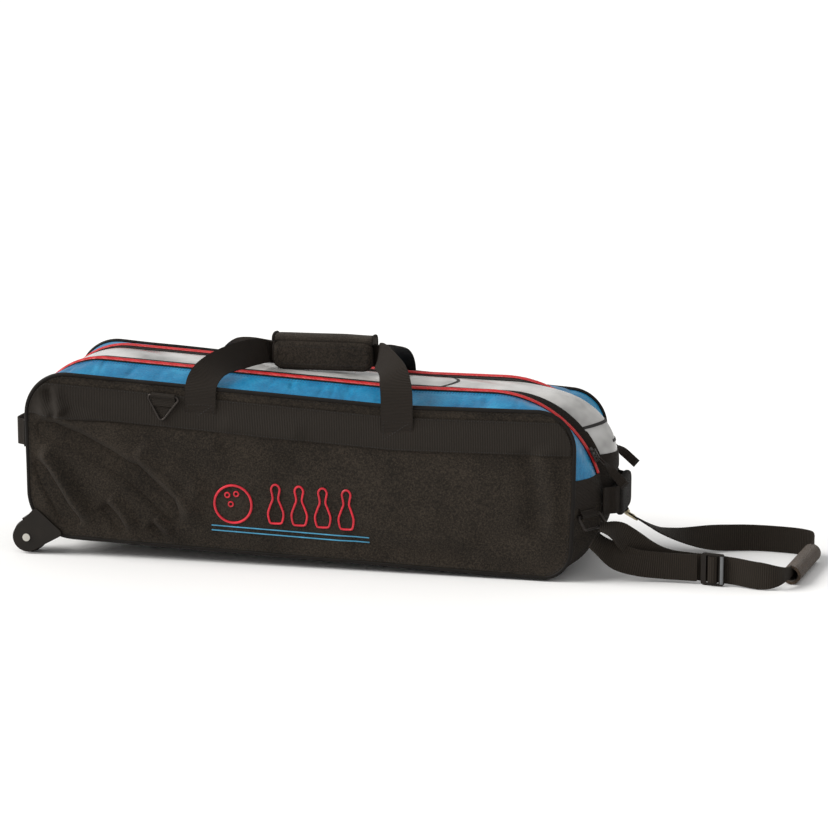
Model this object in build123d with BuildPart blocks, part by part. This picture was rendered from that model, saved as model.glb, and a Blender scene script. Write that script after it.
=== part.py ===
"""Wheeled tote bag for three bowling balls.

+X is the pull end, -X the wheel end, -Y the front panel and +Z up. The origin is
on the floor under the middle of the bag. Millimetres.
"""
from math import atan2, cos, degrees, radians, sin, tan
import os

from build123d import *

os.makedirs("parts", exist_ok=True)

# Side outlines in the XZ plane, each from the lower wheel corner round over the top.
# The bag stands on its wheels at one end, so its base slopes down to the pull end.
PANEL_CORNERS = ((-400, 28), (-402, 266), (136, 236), (388, 238), (386.6, 120), (382, 3.5))
PANEL_RADII = (66, 60, 600, 52, 200, 40)
ZIP_CORNERS = ((-410, 27), (-412, 281), (136, 250), (418, 250), (417.6, 72), (392, -1.09))
ZIP_RADII = (78, 105, 600, 160, 80, 80)
CROWN_CORNERS = ((-414, 27.14), (-418, 283), (136, 255), (470, 240), (420, 104), (392, -1.09))
CROWN_RADII = (78, 110, 600, 98, 60, 70)

# Across the bag, measured from its middle plane.
PANEL_FACE = 120.0  # outer face of a side panel
PANEL_THICK = 3.0
PIPING_CENTRE = 118.5
PIPING_RADIUS = 3.0
GUSSET_EDGE = 115.2  # where the gusset meets the piping
GUSSET_INSET = 1.0  # the gusset's edge sits this far inside the piping line
ZIP_OUTER = 60.0
ZIP_MIDDLE = 56.0
ZIP_INNER = 44.0
GAP = 0.3

# Skins and webbing.
FABRIC = 2.0
VINYL = 1.2
TAPE_PROUD = 1.6
TAPE_THICK = 3.4
WEB_THICK = 1.6
SEAM_Z = 141.0  # lower ends of the coloured strips and zips
WHEEL_SEAM_X = -340.0
PULL_SEAM_X = 322.0

# Window flap and the path of the zip sliders.
FLAP_HINGE_X = 186.0
HEM_TOP_Z = 164.0
CORNER_RADIUS = ZIP_RADII[3]
CORNER_X = ZIP_CORNERS[3][0] - CORNER_RADIUS
CORNER_Z = ZIP_CORNERS[3][1] - CORNER_RADIUS
SLIDER_ANGLE = 28.0

# Wheels.
AXLE_X = -404.0
WHEEL_RADIUS = 24.0
WHEEL_WIDTH = 20.0
WHEEL_OUT = 116.0  # outer face of a wheel
AXLE_RADIUS = 4.0
BORE_CLEARANCE = 0.05

# Carry handles and the wrap that joins them.
GRIP_X = 7.0
GRIP_HALF = 72.0
GRIP_TOP = 311.0
LEG_WIDTH = 46.0
LEG_ROOT_X = {-1: (-142.0, 140.0), 1: (-142.0, 118.0)}
REAR_LEG_DROP = 4.0

# Pull strap.
STRAP_WIDTH = 38.0
STRAP_THICK = 2.4


def outline(corners, radii, grow=0.0):
    """Face inside a rounded outline, to be added to a sketch."""
    with BuildSketch() as shape:
        with BuildLine():
            FilletPolyline(*corners, radius=radii, close=True)
        make_face()
        if grow:
            offset(amount=grow, mode=Mode.REPLACE)
    return shape.sketch


def gusset_skin(proud, thickness):
    """Skin that runs right round the bag between the two side panels."""
    stations = (
        (-GUSSET_EDGE, PANEL_CORNERS, PANEL_RADII, -GUSSET_INSET),
        (-ZIP_OUTER, ZIP_CORNERS, ZIP_RADII, 0.0),
        (-ZIP_INNER, ZIP_CORNERS, ZIP_RADII, 0.0),
        (0.0, CROWN_CORNERS, CROWN_RADII, 0.0),
        (ZIP_INNER, ZIP_CORNERS, ZIP_RADII, 0.0),
        (ZIP_OUTER, ZIP_CORNERS, ZIP_RADII, 0.0),
        (GUSSET_EDGE, PANEL_CORNERS, PANEL_RADII, -GUSSET_INSET),
    )
    with BuildPart() as skin:
        for level, mode in ((proud, Mode.ADD), (proud - thickness, Mode.SUBTRACT)):
            for across, corners, radii, grow in stations:
                with BuildSketch(Plane.XZ.offset(-across)):
                    add(outline(corners, radii, grow + level))
            loft(ruled=True, mode=mode)
    return skin.part


def keep_between(low, high):
    """Keep what lies between two opposite corners of a box."""
    middle = tuple((a + b) / 2 for a, b in zip(low, high))
    sides = (b - a for a, b in zip(low, high))
    with Locations(middle):
        Box(*sides, mode=Mode.INTERSECT)


def save(piece, label):
    """Write one named piece."""
    piece.part.label = label
    export_step(piece.part, f"parts/{label}.step")


def from_skin(skin, low, high, label):
    """Cut one named piece out of a skin."""
    with BuildPart() as piece:
        add(skin)
        keep_between(low, high)
    save(piece, label)


# The underside, a slope from the wheel end down to the toe at the pull end.
TOE_X, TOE_Z = ZIP_CORNERS[5]
BASE_SLOPE = atan2(ZIP_CORNERS[0][1] - TOE_Z, TOE_X - ZIP_CORNERS[0][0])
SOLE_TRIM = 0.2  # the sole is pressed flat by this much


def base_plane(x, lift):
    """Plane parallel to the sloping base, above it at one place along the bag."""
    z = TOE_Z + (TOE_X - x) * tan(BASE_SLOPE) + lift
    return Plane(origin=(x, 0, z), x_dir=(cos(BASE_SLOPE), 0, -sin(BASE_SLOPE)),
                 z_dir=(sin(BASE_SLOPE), 0, cos(BASE_SLOPE)))


FAR = 600.0
SIDES = (("front", -1), ("rear", 1))


def band_of(side, near, far):
    """Range across the bag between two distances from its middle, on one side."""
    return (-far, -near) if side < 0 else (near, far)


# ---------------------------------------------------------------- side panels
for name, side in SIDES:
    outward = Plane.XZ if side < 0 else Plane.XZ.rotated((0, 0, 180))
    flip = 1 if side < 0 else -1
    corners = [(flip * x, z) for x, z in PANEL_CORNERS]

    with BuildPart() as panel:
        with BuildSketch(outward.offset(PANEL_FACE - PANEL_THICK)):
            add(outline(corners, PANEL_RADII, -PIPING_RADIUS - GAP))
        extrude(amount=PANEL_THICK)
    save(panel, f"{name}_panel")

    with BuildPart() as piping:
        with BuildLine(outward.offset(PIPING_CENTRE)) as seam:
            FilletPolyline(*corners, radius=PANEL_RADII, close=True)
        with BuildSketch(seam.line ^ 0):
            Circle(PIPING_RADIUS)
        sweep()
    save(piping, f"{name}_piping")

    # Webbing band sewn along the top of the panel.
    drop, height = 14, 46
    upper = [(x, z - drop) for x, z in corners[1:4]]
    lower = [(x, z - drop - height) for x, z in reversed(corners[1:4])]
    with BuildPart() as top_band:
        with BuildSketch(outward.offset(PANEL_FACE + GAP)):
            add(outline(corners, PANEL_RADII, -PIPING_RADIUS - 2 * GAP))
            with BuildLine():
                Polyline(*upper, *lower, close=True)
            make_face(mode=Mode.INTERSECT)
        extrude(amount=WEB_THICK)
    save(top_band, f"{name}_top_band")

# ------------------------------------------------------- gusset, all round
fabric = gusset_skin(0.0, FABRIC)
for name, side in SIDES:
    y = band_of(side, ZIP_OUTER + GAP / 2, FAR)
    from_skin(fabric, (-FAR, y[0], SEAM_Z), (FAR, y[1], FAR), f"{name}_colour_strip")
below = SEAM_Z - GAP
from_skin(fabric, (-FAR, -FAR, -FAR), (WHEEL_SEAM_X, FAR, below), "wheel_end_panel")
from_skin(fabric, (PULL_SEAM_X, -FAR, -FAR), (FAR, FAR, below), "pull_end_panel")
with BuildPart() as bottom_panel:
    add(fabric)
    keep_between((WHEEL_SEAM_X + GAP, -FAR, -FAR), (PULL_SEAM_X - GAP, FAR, 100))
    with BuildSketch(base_plane(0, SOLE_TRIM)):
        Rectangle(2 * FAR, 2 * FAR)
    extrude(amount=-FAR, mode=Mode.SUBTRACT)
save(bottom_panel, "bottom_panel")

# ---------------------------------------------------------- zips and window
tape = gusset_skin(TAPE_PROUD, TAPE_THICK)
for name, side in SIDES:
    y = band_of(side, ZIP_MIDDLE + GAP / 2, ZIP_OUTER - GAP / 2)
    from_skin(tape, (-FAR, y[0], SEAM_Z), (FAR, y[1], FAR), f"{name}_zip_tape")
    y = band_of(side, ZIP_INNER + GAP / 2, ZIP_MIDDLE - GAP / 2)
    from_skin(tape, (-FAR, y[0], SEAM_Z), (FLAP_HINGE_X - GAP, y[1], FAR), f"{name}_window_tape")
    from_skin(tape, (FLAP_HINGE_X + GAP, y[0], HEM_TOP_Z), (FAR, y[1], FAR), f"{name}_flap_tape")

vinyl = gusset_skin(0.0, VINYL)
y = (-ZIP_INNER + GAP / 2, ZIP_INNER - GAP / 2)
from_skin(vinyl, (-FAR, y[0], SEAM_Z), (FLAP_HINGE_X - GAP, y[1], FAR), "window_fixed")
from_skin(vinyl, (FLAP_HINGE_X + GAP, y[0], HEM_TOP_Z), (FAR, y[1], FAR), "window_flap")
y = (-ZIP_MIDDLE + GAP, ZIP_MIDDLE - GAP)
from_skin(tape, (FLAP_HINGE_X, y[0], SEAM_Z + GAP), (FAR, y[1], HEM_TOP_Z - GAP), "flap_hem")

# ------------------------------------------------- base board and ball cups
BOARD_SIZE = (668.0, 214.0)
BOARD_X = -6.0
BOARD_LIFT = 7.0
BOARD_THICK = 3.0
CUP_RADIUS = 94.0
CUP_HOLE = 58.0
CUP_HEIGHT = 30.0
CUP_PITCH = 252.0


with BuildPart() as base_board:
    with BuildSketch(base_plane(BOARD_X, BOARD_LIFT)):
        RectangleRounded(*BOARD_SIZE, 20)
    extrude(amount=BOARD_THICK)
save(base_board, "base_board")

for name, place in (("wheel_end", -1), ("middle", 0), ("pull_end", 1)):
    with BuildPart() as cup:
        with BuildSketch(base_plane(BOARD_X + place * CUP_PITCH, BOARD_LIFT + BOARD_THICK + GAP)):
            Circle(CUP_RADIUS)
            Circle(CUP_HOLE, mode=Mode.SUBTRACT)
        extrude(amount=CUP_HEIGHT)
        rims = cup.edges().filter_by(GeomType.CIRCLE).sort_by(SortBy.RADIUS)
        chamfer(rims[:2].sort_by(Axis.Z)[-1], length=14, length2=20)
    save(cup, f"{name}_ball_cup")

# ------------------------------------------------------------ end webbing
BAND_FOOT_Z = 102.0
end_band = gusset_skin(WEB_THICK + GAP, WEB_THICK)
from_skin(end_band, (PULL_SEAM_X, -106, BAND_FOOT_Z), (FAR, 106, SEAM_Z - 1), "pull_end_band")


END_STRAP_WIDTH = 38.0


def bowed_loop(level, half, root, reach, label):
    """Strap standing on edge that bows out from an end of the bag and back."""
    with BuildPart() as strap:
        with BuildSketch(Plane.XY.offset(level)):
            with BuildLine() as path:
                FilletPolyline(
                    (root, -half), (root, -half + 11), (reach, -half + 24), (reach, half - 24),
                    (root, half - 11), (root, half), radius=6,
                )
            trace(path.line, line_width=WEB_THICK)
        extrude(amount=END_STRAP_WIDTH / 2, both=True)
    save(strap, label)


PULL_HANDLE_Z = 104.0
PAD_X = 439.0
PAD_THICK = 11.0
bowed_loop(PULL_HANDLE_Z, 69, 421.4, PAD_X, "pull_end_handle")

with BuildPart() as pull_pad:
    with BuildSketch(Plane.YZ.offset(PAD_X - PAD_THICK / 2)):
        with Locations((0, PULL_HANDLE_Z)):
            RectangleRounded(84, 50, 16)
    extrude(amount=PAD_THICK)
    fillet(pull_pad.edges().group_by(Axis.X)[-1], 4)
    with Locations((PAD_X, 0, PULL_HANDLE_Z)):
        Box(WEB_THICK + 2 * GAP, 120, END_STRAP_WIDTH + 2 * GAP, mode=Mode.SUBTRACT)
save(pull_pad, "pull_end_handle_pad")

WHEEL_HANDLE_Z = 165.0
bowed_loop(WHEEL_HANDLE_Z, 76, -421.5, -440, "wheel_end_handle")

# ------------------------------------------------------------------ wheels
CHEEK_OUT = 125.0
CHEEK_THICK = 3.2
BOSS_RADIUS = 21.0
SHELL_INNER = 25.4
SHELL_OUTER = 27.8
INNER_CHEEK = 87.0
for name, side in SIDES:
    outward = Plane.XZ if side < 0 else Plane.XZ.rotated((0, 0, 180))
    flip = 1 if side < 0 else -1
    centre = (flip * AXLE_X, WHEEL_RADIUS)

    with BuildPart() as wheel:
        with BuildSketch(outward.offset(WHEEL_OUT - WHEEL_WIDTH)):
            with Locations(centre):
                Circle(WHEEL_RADIUS)
                Circle(AXLE_RADIUS + BORE_CLEARANCE, mode=Mode.SUBTRACT)
        extrude(amount=WHEEL_WIDTH)
        rims = wheel.edges().filter_by(GeomType.CIRCLE).sort_by(SortBy.RADIUS)
        fillet(rims[-2:], 5)
    save(wheel, f"{name}_wheel")

    with BuildPart() as axle:
        with BuildSketch(outward.offset(INNER_CHEEK - 1.5)):
            with Locations(centre):
                Circle(AXLE_RADIUS)
        extrude(amount=CHEEK_OUT - INNER_CHEEK + 2)
        with BuildSketch(outward.offset(CHEEK_OUT + GAP)):
            with Locations(centre):
                Circle(5.6)
        extrude(amount=1.6)
    save(axle, f"{name}_axle")

    with BuildPart() as housing:
        # Outer cheek, a round boss with a plate over the bag's corner.
        with BuildSketch(outward.offset(CHEEK_OUT - CHEEK_THICK)):
            with Locations(centre):
                Circle(BOSS_RADIUS)
            with Locations((flip * -390, 60), (flip * -358, 32)):
                Circle(6)
            make_hull()
            with Locations(centre):
                Circle(AXLE_RADIUS + GAP, mode=Mode.SUBTRACT)
        extrude(amount=CHEEK_THICK)
        # Curved guard between the wheel and the bag.
        with BuildSketch(outward.offset(INNER_CHEEK)):
            with BuildLine():
                turn = (-15, 105) if flip > 0 else (75, 195)
                reach = 3 * SHELL_OUTER
                ends = [(centre[0] + reach * cos(radians(a)), centre[1] + reach * sin(radians(a)))
                        for a in (turn[0], sum(turn) / 2, turn[1])]
                Polyline(centre, *ends, close=True)
            make_face()
            with Locations(centre):
                Circle(SHELL_OUTER, mode=Mode.INTERSECT)
                Circle(SHELL_INNER, mode=Mode.SUBTRACT)
        extrude(amount=CHEEK_OUT - CHEEK_THICK - INNER_CHEEK + 0.1)
        # Inner cheek.
        with BuildSketch(outward.offset(INNER_CHEEK)):
            with BuildLine():
                Polyline(centre, *ends, close=True)
            make_face()
            with Locations(centre):
                Circle(SHELL_OUTER, mode=Mode.INTERSECT)
                Circle(16)
                Circle(AXLE_RADIUS + GAP, mode=Mode.SUBTRACT)
        extrude(amount=CHEEK_THICK)
    save(housing, f"{name}_wheel_housing")

# ----------------------------------------------------------- carry handles
GRIP_MIDDLE_Z = 285.0
LEG_END_HEIGHT = 31.0


def handle_leg(root_x, side):
    """Webbing from the panel up, over and in to the end of the grip."""
    inward = 1 if root_x < GRIP_X else -1
    end_x = GRIP_X - inward * (GRIP_HALF + 1.0)
    shoulder = 258.0 if inward > 0 else 245.0
    drop = REAR_LEG_DROP if side > 0 else 0.0
    stations = (  # share of the way to the grip, across, up, lean of the width, direction
        (0.0, 124.0, shoulder - 56, 0.0, (0, 0, 1)),
        (0.0, 124.0, shoulder, 0.0, (0, 0, 1)),
        (0.12, 96.0, 283.0 - 2 * drop, 18.0, (0.25, 0.6, 0.76)),
        (0.50, 46.0, 294.0 - drop, 58.0, (0.7, 0.7, 0.14)),
        (1.0, 4.6, GRIP_MIDDLE_Z, 90.0, (1, 0, 0)),
    )
    with BuildPart() as leg:
        for share, across, up, lean, travel in stations:
            x = root_x + share * (end_x - root_x)
            normal = Vector(inward * travel[0], -side * travel[1], travel[2])
            width = Vector(inward * cos(radians(lean)), 0, -sin(radians(lean)))
            width = width - normal * (width.dot(normal) / normal.dot(normal))
            plane = Plane(origin=(x, side * across, up), x_dir=width, z_dir=normal)
            with BuildSketch(plane):
                Rectangle(LEG_WIDTH if share < 1 else LEG_END_HEIGHT, WEB_THICK)
        loft(ruled=True)
    return leg.part


for name, side in SIDES:
    with BuildPart() as legs:
        for root_x in LEG_ROOT_X[side]:
            add(handle_leg(root_x, side))
    save(legs, f"{name}_handle_legs")

    with BuildPart() as core:
        with Locations((GRIP_X, side * 4.6, GRIP_MIDDLE_Z)):
            Box(2 * GRIP_HALF, WEB_THICK, LEG_END_HEIGHT)
    save(core, f"{name}_handle_grip")

WRAP_HALF = 16.0
WRAP_WALL = 8.5
WRAP_FOLD_Z = 302.0
WRAP_FOOT_Z = 267.5
with BuildPart() as grip_wrap:
    with BuildSketch(Plane.YZ.offset(GRIP_X - GRIP_HALF)):
        with BuildLine():
            FilletPolyline(
                (-WRAP_HALF, WRAP_FOLD_Z + GAP), (-WRAP_HALF, GRIP_TOP), (WRAP_HALF, GRIP_TOP),
                (WRAP_HALF, WRAP_FOOT_Z), (WRAP_HALF - WRAP_WALL, WRAP_FOOT_Z),
                (WRAP_HALF - WRAP_WALL, WRAP_FOLD_Z + GAP),
                radius=(0, 7, 7, 3, 3, 0), close=True,
            )
        make_face()
    extrude(amount=2 * GRIP_HALF)
save(grip_wrap, "grip_wrap")

with BuildPart() as wrap_flap:
    with BuildSketch(Plane.XZ.offset(WRAP_HALF - WRAP_WALL)):
        with BuildLine():
            FilletPolyline(
                (GRIP_X - GRIP_HALF, WRAP_FOOT_Z), (GRIP_X - GRIP_HALF, WRAP_FOLD_Z),
                (GRIP_X + GRIP_HALF, WRAP_FOLD_Z), (GRIP_X + GRIP_HALF, WRAP_FOOT_Z),
                radius=(6, 2, 2, 6), close=True,
            )
        make_face()
    extrude(amount=WRAP_WALL)
save(wrap_flap, "grip_wrap_flap")

# ----------------------------------------------------- triangle wire ring
TRIANGLE = ((-220.0, 241.0), (-170.0, 237.6), (-199.0, 201.0))
WIRE = 1.5
RING_OUT = 126.4
with BuildPart() as triangle_ring:
    with BuildLine(Plane.XZ.offset(RING_OUT)) as wire_path:
        FilletPolyline(*TRIANGLE, radius=(4, 4, 5), close=True)
    with BuildSketch(wire_path.line ^ 0):
        Circle(WIRE)
    sweep()
save(triangle_ring, "triangle_ring")

bar_tilt = degrees(atan2(TRIANGLE[1][1] - TRIANGLE[0][1], TRIANGLE[1][0] - TRIANGLE[0][0]))
bar_middle = ((TRIANGLE[0][0] + TRIANGLE[1][0]) / 2, (TRIANGLE[0][1] + TRIANGLE[1][1]) / 2)
with BuildPart() as ring_loop:
    along = Plane(origin=(bar_middle[0], -RING_OUT, bar_middle[1]), x_dir=(0, 1, 0),
                  z_dir=(cos(radians(bar_tilt)), 0, sin(radians(bar_tilt))))
    with BuildSketch(along):
        Circle(WIRE + GAP + WEB_THICK)
        with Locations((RING_OUT - PANEL_FACE - 2 * GAP - WEB_THICK - 1.0, -15)):
            Rectangle(2.0, 30)
        Circle(WIRE + GAP, mode=Mode.SUBTRACT)
    extrude(amount=17, both=True)
save(ring_loop, "triangle_ring_loop")

# --------------------------------------------------- zip sliders and pulls
SLIDER_LIFT = TAPE_PROUD + 3.0
PULL_LIFT = 4.6
for name, side in SIDES:
    turn = radians(SLIDER_ANGLE)
    radial = (cos(turn), 0, sin(turn))
    down = (sin(turn), 0, -cos(turn))
    reach = CORNER_RADIUS + SLIDER_LIFT
    spot = (CORNER_X + reach * radial[0], side * ZIP_MIDDLE, CORNER_Z + reach * radial[2])
    seat = Plane(origin=spot, x_dir=down, z_dir=radial)
    with BuildPart() as slider:
        with BuildSketch(seat.offset(0.4)):
            RectangleRounded(22, 11, 3)
        extrude(amount=2.4)
        with BuildSketch(Plane(origin=spot, x_dir=down, z_dir=(0, -1, 0)).offset(-1.6)):
            with Locations((0, 4.6)):
                Rectangle(14, 5)
            with Locations((1, PULL_LIFT)):
                Rectangle(9, 3.2, mode=Mode.SUBTRACT)
        extrude(amount=3.2)
    save(slider, f"{name}_zip_slider")

    # Wire loop and webbing tab, which hang from the slider's bridge together.
    bridge = seat.offset(PULL_LIFT).origin + Vector(*down) * 2
    lean = radians(44 if side < 0 else 50)
    hang = Vector(sin(lean), 0, -cos(lean))
    face = Vector(cos(lean), 0, sin(lean))
    flat = Plane(origin=bridge, x_dir=hang, z_dir=face)
    tab_length = 40 if side < 0 else 34
    with BuildPart() as pull:
        with BuildSketch(flat.offset(-0.8)):
            with Locations((9.2, 0)):
                RectangleRounded(20, 12, 4)
                RectangleRounded(16.8, 8.8, 2.4, mode=Mode.SUBTRACT)
        extrude(amount=1.6)
        with BuildSketch(flat.offset(-1.3)):
            with Locations((17.4 + tab_length / 2, 0)):
                RectangleRounded(tab_length, 10, 2)
        extrude(amount=2.6)
    save(pull, f"{name}_zip_pull")
    print(name, "pull hinge", bridge)

# ------------------------------------------- strap tabs and rings, pull end
RING_ACROSS = 88.0
RING_BAR = 2.0
RING_LENGTH = 20.0
RING_WIDTH = 46.0
RING_SWING = radians(38)
TAB_FOOT_Z = 90.0
PANEL_END_X = 384.0  # end edge of the side panels

# The end of the bag slopes away from the zips to the panels, seen from above.
slope_run = GUSSET_EDGE - ZIP_OUTER
slope_fall = ZIP_CORNERS[4][0] - PANEL_END_X
slope = atan2(slope_fall, slope_run)
end_x = ZIP_CORNERS[4][0] - (RING_ACROSS - ZIP_OUTER) * tan(slope)


def ring_frame(side):
    """Ring's top bar middle, direction along the bar, and outward normal of the bag's end."""
    along = Vector(-sin(slope), side * cos(slope), 0)
    outward = Vector(cos(slope), side * sin(slope), 0)
    stand = RING_BAR + WEB_THICK + 2 * GAP
    top = Vector(end_x, side * RING_ACROSS, TAB_FOOT_Z) + outward * stand
    return top, along, outward


for name, side in SIDES:
    top, along, out = ring_frame(side)
    hang = out * sin(RING_SWING) - Vector(0, 0, cos(RING_SWING))
    with BuildPart() as ring:
        with BuildLine(Plane(origin=top, x_dir=hang, z_dir=hang.cross(along))) as loop:
            FilletPolyline(
                (0, -RING_WIDTH / 2), (RING_LENGTH, -RING_WIDTH / 2),
                (RING_LENGTH, RING_WIDTH / 2), (0, RING_WIDTH / 2), radius=4, close=True,
            )
        with BuildSketch(loop.line ^ 0):
            Circle(RING_BAR)
        sweep()
    save(ring, f"{name}_strap_ring")

    with BuildPart() as tab:
        with BuildSketch(Plane(origin=top, x_dir=out, z_dir=along)):
            Circle(RING_BAR + GAP + WEB_THICK)
            tail = (BAND_FOOT_Z - GAP - TAB_FOOT_Z) * (1 if side < 0 else -1)
            with Locations((-RING_BAR - GAP - WEB_THICK / 2, -tail / 2)):
                Rectangle(WEB_THICK, abs(tail))
            Circle(RING_BAR + GAP, mode=Mode.SUBTRACT)
        extrude(amount=17, both=True)
    save(tab, f"{name}_strap_tab")

# ------------------------------------------------------------ pull strap
FLOOR_LIFT = STRAP_WIDTH / 2 + 0.3
STRAP_FRONT = (
    (421, -101, 76), (441, -97, 74), (463, -88, 54), (484, -81, 36), (512, -78, 24.5),
    (552, -81, 22.6), (604, -92, 22.6), (636, -101, FLOOR_LIFT), (662, -103, FLOOR_LIFT),
    (676, -88, FLOOR_LIFT), (681, -66, FLOOR_LIFT),
)
STRAP_RETURN = (
    (414, -109, 60), (434, -106, 42), (466, -96, 27), (512, -88, 22.6), (555, -88.5, 22.6),
)
STRAP_REAR = (
    (699.5, 72, FLOOR_LIFT), (701, 92, FLOOR_LIFT), (684, 108, FLOOR_LIFT),
    (655, 115, FLOOR_LIFT), (610, 118, FLOOR_LIFT), (566, 105, FLOOR_LIFT),
    (524, 89, 22.5), (488, 86, 29), (462, 94, 37), (441, 109, 43),
)


def route_radii(points):
    """Radius of each bend, as large as its two straight runs allow."""
    radii = []
    for before, here, after in zip(points, points[1:], points[2:]):
        arriving = Vector(*here) - Vector(*before)
        leaving = Vector(*after) - Vector(*here)
        turn = radians(arriving.get_angle(leaving))
        radii.append(0.45 * min(arriving.length, leaving.length) / tan(turn / 2))
    return radii


for label, points in (
    ("pull_strap_front", STRAP_FRONT),
    ("pull_strap_return", STRAP_RETURN),
    ("pull_strap_rear", STRAP_REAR),
):
    radii = route_radii(points)
    with BuildPart() as strap:
        with BuildLine() as route:
            FilletPolyline(*points, radius=radii)
        start = Plane(route.line ^ 0)
        upright = Vector(0, 0, 1) - start.z_dir * start.z_dir.Z
        with BuildSketch(Plane(origin=start.origin, x_dir=upright, z_dir=start.z_dir)):
            Rectangle(STRAP_WIDTH, STRAP_THICK)
        sweep()
    save(strap, label)
    length = route.wires()[0].length
    print(label, "length", round(length, 1), "radii", [round(r) for r in radii])
    print(label, "volume share", round(strap.part.volume / (length * STRAP_WIDTH * STRAP_THICK), 4))

# Three-bar slider on the strap, where its two layers join.
SLIDER_GAP = 2.6  # the strap leans a little as it comes off the floor
run = Vector(52, -11, 0)
with BuildPart() as strap_slider:
    face = Plane(origin=(578, -86.5, 22.8), x_dir=run, z_dir=Vector(-11, -52, 0))
    with BuildSketch(face.offset(STRAP_THICK / 2 + SLIDER_GAP)):
        RectangleRounded(33, 45, 4)
        with Locations((-7.4, 0), (7.4, 0)):
            Rectangle(3.8, 39, mode=Mode.SUBTRACT)
    extrude(amount=3.6)
save(strap_slider, "pull_strap_slider")

# Grip tube at the far end of the strap's loop.
GRIP_RADIUS = 13.0
grip_run = Vector(17, 134, 0)
with BuildPart() as strap_grip:
    start = Plane(origin=(682, -64, GRIP_RADIUS + 0.3), z_dir=grip_run)
    with BuildSketch(start):
        Circle(GRIP_RADIUS)
        Circle(GRIP_RADIUS - 4, mode=Mode.SUBTRACT)
    extrude(amount=grip_run.length)
save(strap_grip, "pull_strap_grip")

# ------------------------------------------------------------- snap hook
HOOK_THICK = 5.0
HOOK_SWING = radians(38)
top, along, out = ring_frame(1)
foot = top + (out * sin(RING_SWING) - Vector(0, 0, cos(RING_SWING))) * RING_LENGTH
hook_run = out * sin(HOOK_SWING) - Vector(0, 0, cos(HOOK_SWING))
hook_plane = Plane(origin=foot, x_dir=hook_run, z_dir=along)
GATE_PIVOT = (13.5, 6.4)

with BuildPart() as hook:
    with BuildSketch(hook_plane):
        with Locations((3, 0), (11, 0)):
            Circle(8.6)
        make_hull()
        with BuildSketch(mode=Mode.SUBTRACT):
            with Locations((2.6, 0), (9.5, 0)):
                Circle(4.8)
            make_hull()
        with Locations((7, 6.8)):
            Rectangle(12, 5.2, mode=Mode.SUBTRACT)
        with Locations((21.5, 0)):
            Rectangle(9, 8)
    extrude(amount=HOOK_THICK / 2, both=True)
save(hook, "snap_hook_body")

with BuildPart() as gate:
    with BuildSketch(hook_plane):
        with Locations((7, 6.6)):
            Rectangle(11.2, 2.6)
    extrude(amount=HOOK_THICK / 2 - 0.4, both=True)
save(gate, "snap_hook_gate")

with BuildPart() as eye:
    with BuildSketch(Plane(origin=foot + hook_run * 26.4, x_dir=along, z_dir=hook_run)):
        Circle(3.6)
    extrude(amount=4)
    with BuildLine(Plane(origin=foot + hook_run * 31, x_dir=hook_run, z_dir=hook_run.cross(along))) as loop:
        FilletPolyline((0, -21), (9, -21), (9, 21), (0, 21), radius=3, close=True)
    with BuildSketch(loop.line ^ 0):
        Circle(1.6)
    sweep()
save(eye, "snap_hook_eye")
print("hook foot", foot, "along", along, "run", hook_run)
print("hook gate pivot", hook_plane.from_local_coords((*GATE_PIVOT, 0)))
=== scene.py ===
import math

import bpy
import numpy as np
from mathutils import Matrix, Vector


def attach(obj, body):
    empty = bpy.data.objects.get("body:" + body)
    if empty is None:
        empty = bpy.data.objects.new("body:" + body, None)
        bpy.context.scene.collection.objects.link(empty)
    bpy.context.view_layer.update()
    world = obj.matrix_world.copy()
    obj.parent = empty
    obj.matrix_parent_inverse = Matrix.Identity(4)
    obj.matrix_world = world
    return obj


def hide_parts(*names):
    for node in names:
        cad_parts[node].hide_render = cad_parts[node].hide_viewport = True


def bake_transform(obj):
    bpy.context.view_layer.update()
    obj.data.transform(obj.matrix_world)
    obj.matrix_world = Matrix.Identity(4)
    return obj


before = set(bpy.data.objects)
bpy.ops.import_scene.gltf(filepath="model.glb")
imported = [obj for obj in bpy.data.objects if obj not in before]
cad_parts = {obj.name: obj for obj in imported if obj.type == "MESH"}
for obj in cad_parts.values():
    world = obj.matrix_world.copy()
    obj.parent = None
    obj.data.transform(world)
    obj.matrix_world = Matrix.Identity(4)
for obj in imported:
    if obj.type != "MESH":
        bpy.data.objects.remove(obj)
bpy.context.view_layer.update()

MM = 0.001
SCENE = bpy.context.scene
SIDES = (("front", -1), ("rear", 1))
UP = np.array((0.0, 0.0, 1.0))


def added(name, data):
    """New object in the scene."""
    ob = bpy.data.objects.new(name, data)
    SCENE.collection.objects.link(ob)
    return ob


# ------------------------------------------------------------------ camera
AZIMUTH = math.radians(12.5)
ELEVATION = math.radians(11.3)
DISTANCE = 4.029
TARGET = Vector((0.137, 0.0, 0.203))
BACK = Vector((math.sin(AZIMUTH) * math.cos(ELEVATION),
               -math.cos(AZIMUTH) * math.cos(ELEVATION),
               math.sin(ELEVATION)))
camera_data = bpy.data.cameras.new("camera")
camera_data.lens = 123.13
camera_data.sensor_width = 36.0
camera = added("camera", camera_data)
camera.location = TARGET + BACK * DISTANCE
camera.rotation_euler = BACK.to_track_quat("Z", "Y").to_euler()
SCENE.camera = camera


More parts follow.
